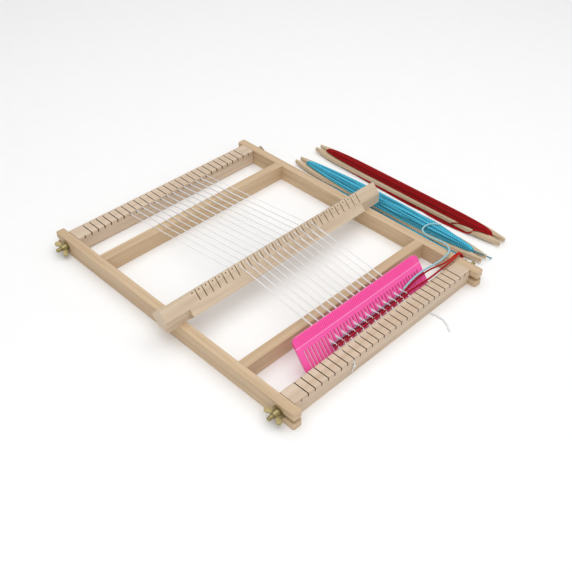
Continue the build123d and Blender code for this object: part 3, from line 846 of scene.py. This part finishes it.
def wind(colour, material, wide, high, count, ends, power, wander, under, hanging):
    """Winds one shuttle: count strands heaped on top, under strands below it, and for each row of
    hanging (out, middle, span, z) one that bulges out past the near edge. Out and z are in mm."""
    board_low, board_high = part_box("shuttle_" + colour)
    yarn_low, yarn_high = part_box("yarn_" + colour)
    centre = (board_low + board_high) / 2
    reach = (yarn_high.y - yarn_low.y) / 2
    lines = heap_lines(centre, reach, board_high.z, wide, high, count, ends, power, wander)
    for i in range(under):
        offset = (i + 0.5) / under * 2 - 1
        lines.append([(centre.x + offset * (9.5 * mm * heap_size(t, 0.15, 2.4)), centre.y + t * reach,
                       1.5 * mm + dice.uniform(-0.3, 0.3) * mm) for t in (v / 8 for v in range(-8, 9))])
    near_edge = board_low.x
    for out, middle_t, span, z in hanging:
        line = []
        for v in range(-7, 8):
            t = middle_t + span * v / 7
            bulge = (3 * mm + out * mm) * (1 - (v / 7) ** 2)
            line.append((near_edge + 3 * mm - bulge + dice.uniform(-0.25, 0.25) * mm,
                         centre.y + t * reach, z * mm))
        lines.append(line)
    winding = swept("winding_" + colour, lines, material, yarn_radius, 1.15 * mm, 8,
                    groove=0.04, turns=twist, resolution=3)
    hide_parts("yarn_" + colour)
    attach(winding, "shuttle_" + colour)
    core = heap_core("winding_core_" + colour, centre, reach, board_high.z, wide, high, ends, power,
                     material)
    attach(core, "shuttle_" + colour)


wind("blue", turquoise, 13.6 * mm, 5.2 * mm, 19, 0.3, 2.4, 0.10, 7,
     ((1.2, 0.0, 0.62, 1.1), (2.6, -0.05, 0.66, 1.0), (0.2, -0.2, 0.6, 2.0), (0.9, -0.62, 0.3, 1.1)))
wind("red", crimson, 8.3 * mm, 4.6 * mm, 12, 0.42, 7.0, 0.05, 7,
     ((1.0, 0.05, 0.6, 1.1), (2.2, -0.12, 0.55, 1.0), (0.2, 0.2, 0.55, 1.9)))

# ---- stray strands of the windings ----------------------------------------
# A slack bundle of crimson that hangs under the near edge and comes back over it, a few slack
# turquoise strands on the far side, and the turquoise end that sticks out past the front fork.
blue_x, blue_y = (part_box("shuttle_blue")[0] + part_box("shuttle_blue")[1]).xy / 2
red_x, red_y = (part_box("shuttle_red")[0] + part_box("shuttle_red")[1]).xy / 2
table_z = 1.0              # mm; no slack strand's centre sinks below this
slack_red = []
for out, up in ((0, 0.2), (1.8, 0), (3.2, 0.9)):
    slack_red.append([(red_x + (x + out) * mm, red_y + y * mm, max(z + up, table_z) * mm) for x, y, z in (
        (-9, -20, 1.2), (-14, -45, 1.1), (-15.8, -68, 1.1), (-15.2, -90, 1.1), (-13.6, -106, 1.1),
        (-12.4, -116, 1.6), (-12.2, -121, 4.5), (-10.4, -123.5, 8.6), (-6.5, -129, 10.4),
        (-4, -138, 10.2))])
slack_red.append([(red_x + x * mm, red_y + y * mm, z * mm) for x, y, z in (
    (-10.6, -88, 3.2), (-12.9, -93, 5.2), (-11.2, -99, 9), (-7.8, -112, 9.1), (-6.6, -124, 9.8),
    (-4, -134, 11))])
slack = swept("slack_crimson_strands", slack_red, crimson, yarn_radius, 0.9 * mm, 8,
              groove=0.04, turns=twist)
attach(slack, "shuttle_red")
loose_blue = [[(blue_x + x * mm, blue_y + (y + 4 * k) * mm, z * mm) for x, y, z in (
    (8 + k, -38, 11), (12.4 + 0.8 * k, -62, 9.4), (12.8 + 0.9 * k, -88, 9.1),
    (9.6 + 0.6 * k, -112, 9.2), (3 + 0.4 * k, -134, 10))] for k in range(3)]
loose_blue.append([(blue_x + x * mm, blue_y + y * mm, z * mm) for x, y, z in (
    (-1, -138, 10), (-0.6, -146, 9.6), (0.6, -152, 9.4), (2.6, -158, 8.6), (7, -162.5, 5.6),
    (10.6, -165, 2.4), (13, -166, 1.2))])
ends = swept("loose_turquoise_strands", loose_blue, turquoise, 0.9 * mm, 0.9 * mm, 8,
             groove=0.04, turns=twist)
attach(ends, "shuttle_blue")

# ---- loose strands --------------------------------------------------------
# The weft yarns run loose from the weave: two crimson ones side by side over the rail and under the
# blue shuttle, and turquoise along the rail and round onto the blue shuttle's winding.


def centreline(points):
    """Points along the smooth line of a route, read from its own NURBS curve."""
    line = strand_lines("route", [points], 12)
    mesh = plain_mesh(line)
    along = [v.co.copy() for v in mesh.vertices]
    bpy.data.objects.remove(line)
    bpy.data.meshes.remove(mesh)
    return along


def loose_strand(name, route, diameter, material, cad_name, plies=2):
    """One strand along a route in mm from the loom's centreline. It is drawn a little thicker
    than its diameter, to make up for the grooves between its plies."""
    points = [(loom_x + x * mm, y * mm, z * mm) for x, y, z in route]
    radius = diameter / 2 * 1.04
    strand = swept(name, [points], material, radius, 0.5 * mm, 16, plies, 0.22, 150, 12)
    path = centreline(points)
    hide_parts(cad_name)
    return strand


def give(strand):
    """Bakes a strand's placement into its mesh; the strand is attached to no body."""
    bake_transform(strand)


red_strand = loose_strand("strand_red_yarn", (
    (60.9, -175.5, 23.9), (75, -176.4, 24.3), (91, -177.6, 24.1), (107, -178.2, 24.4),
    (123, -177.3, 24.1), (139, -177.2, 24.3), (153, -176.8, 25.8), (164.5, -176.2, 25.6),
    (169.5, -175.9, 19), (172.5, -174.4, 11), (176, -171.8, 4.2), (183, -168.4, 1.5),
    (191, -165.6, 1.4)),
    2.4 * mm, scarlet, "strand_red")
give(red_strand)
red_loop = loose_strand("strand_red_loop_yarn", (
    (60.9, -172, 24.2), (75, -170, 25.3), (91, -168.6, 25.8), (107, -168.3, 25.2), (119, -169.8, 24.9),
    (129, -172.4, 24.6), (140, -174.4, 24.7), (153, -174.2, 25.8), (164.5, -173.6, 25.6),
    (169.5, -173.2, 19), (172.5, -171.6, 11), (176, -169, 4.2), (183, -165.8, 1.5),
    (190.6, -163.2, 1.4)),
    2.2 * mm, scarlet, "strand_red_loop")
give(red_loop)
blue_near = loose_strand("strand_blue_weave_yarn", (
    (62, -169.3, 25), (73, -167.8, 27.2), (89, -166.6, 28.2), (105, -166.4, 28.0), (120, -167.4, 26.8),
    (134, -168.4, 25.8), (146, -167.2, 25.6)),
    2.4 * mm, pale_turquoise, "strand_blue_weave")
give(blue_near)
blue_far = loose_strand("strand_blue_rail_yarn", (
    (146, -167.2, 25.6), (155, -166.3, 25.45), (162.5, -160.5, 25.9), (166.3, -151.5, 25.8),
    (165.2, -141, 25.6), (163.4, -131, 25.5), (164.6, -121.5, 24.8), (170.5, -113.5, 22),
    (179, -107.5, 18.2), (188, -104.4, 15.6), (196, -105, 15.3), (202.5, -109.6, 15.2),
    (206.5, -116.4, 15)),
    2.4 * mm, pale_turquoise, "strand_blue_rail")
give(blue_far)

# ---- warp tail --------------------------------------------------------------
# The last warp end, three cotton threads together, comes out from under the front beam and lies
# on the table.
tail = loose_strand("warp_tail_thread", (
    (75, -201.2, 1.25), (75.6, -207.5, 1.3), (76.6, -214, 1.3), (75.8, -221, 1.35), (72, -229, 1.3),
    (65.5, -236.5, 1.25)), 2.4 * mm, cotton, "warp_tail", 3)
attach(tail, "frame")
